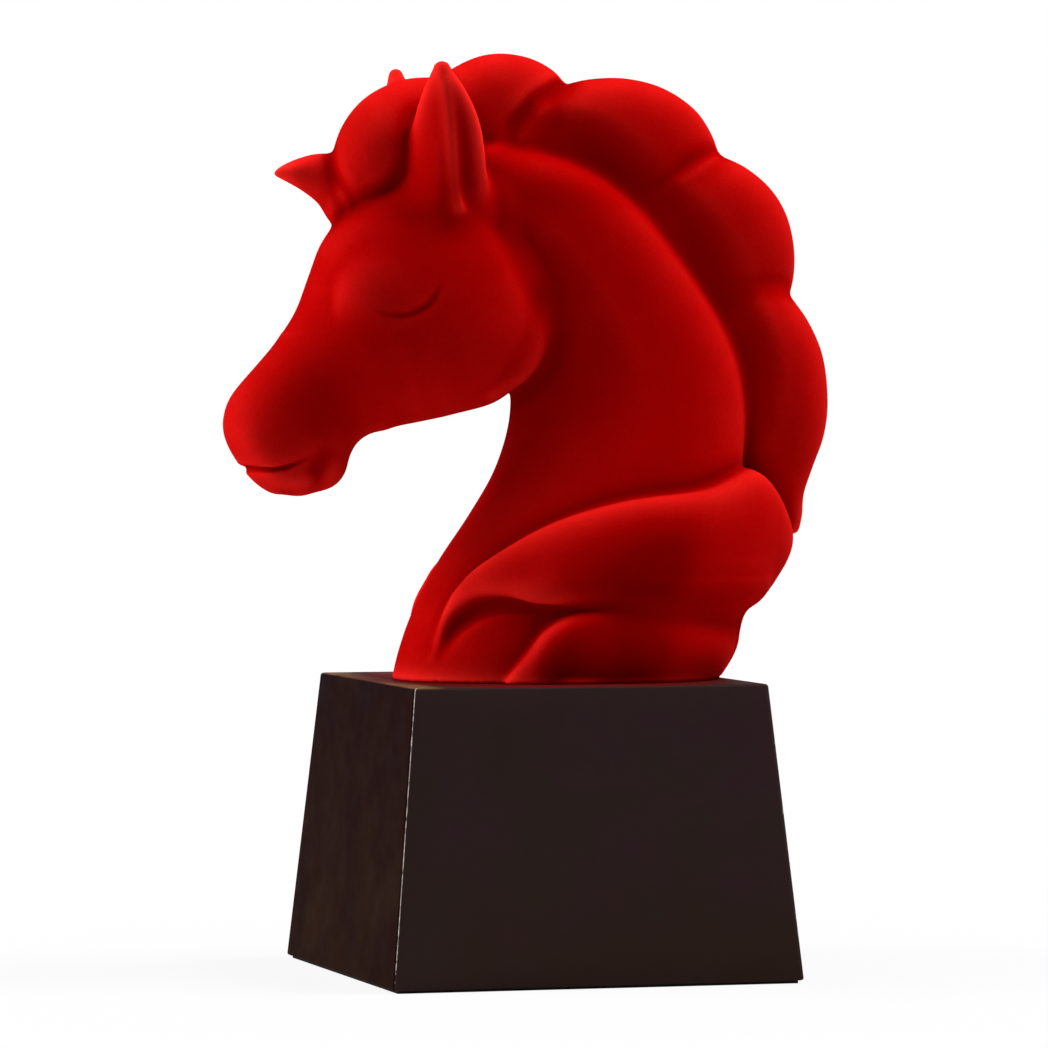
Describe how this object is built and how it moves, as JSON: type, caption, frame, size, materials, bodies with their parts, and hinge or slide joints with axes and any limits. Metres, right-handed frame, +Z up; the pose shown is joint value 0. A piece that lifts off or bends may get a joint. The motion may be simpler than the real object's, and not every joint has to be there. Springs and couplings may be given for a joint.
{
  "type": "horse head statue",
  "caption": "Red flocked horse head bust with rounded mane locks and closed eyes, screwed to a satin dark tapered square plinth with a felt underside.",
  "frame": {"origin": "middle of the felt pad's underside, where the plinth stands on the table", "axes": "+Z up; the horse faces -Y; its left side is +X"},
  "size_m": [0.1426, 0.2136, 0.3128],
  "materials": {
    "red_flock": "short red flock glued over cast resin",
    "plinth_paint": "satin dark brown-black paint on fibreboard",
    "raw_board": "bare fibreboard",
    "block_softwood": "bare planed softwood",
    "felt": "black felt",
    "fixing_steel": "zinc-plated steel",
    "insert_brass": "machined brass"
  },
  "bodies": {
    "root": {"board_screw_1": "fixing_steel", "board_screw_2": "fixing_steel", "board_screw_3": "fixing_steel", "board_screw_4": "fixing_steel", "bottom_board": "raw_board", "bust_casting": "red_flock", "corner_block_1": "block_softwood", "corner_block_2": "block_softwood", "corner_block_3": "block_softwood", "corner_block_4": "block_softwood", "ear_left": "red_flock", "ear_right": "red_flock", "felt_pad": "felt", "fixing_screw_front": "fixing_steel", "fixing_screw_rear": "fixing_steel", "fixing_washer_front": "fixing_steel", "fixing_washer_rear": "fixing_steel", "forelock": "red_flock", "forelock_curl": "red_flock", "mane_lock_1": "red_flock", "mane_lock_2": "red_flock", "mane_lock_3": "red_flock", "mane_lock_4": "red_flock", "shoulder_lock_lower_left": "red_flock", "shoulder_lock_lower_right": "red_flock", "shoulder_lock_upper_left": "red_flock", "shoulder_lock_upper_right": "red_flock", "side_panel_back": "plinth_paint", "side_panel_front": "plinth_paint", "side_panel_left": "plinth_paint", "side_panel_right": "plinth_paint", "threaded_insert_front": "insert_brass", "threaded_insert_rear": "insert_brass", "top_panel": "plinth_paint"}
  },
  "joints": []
}
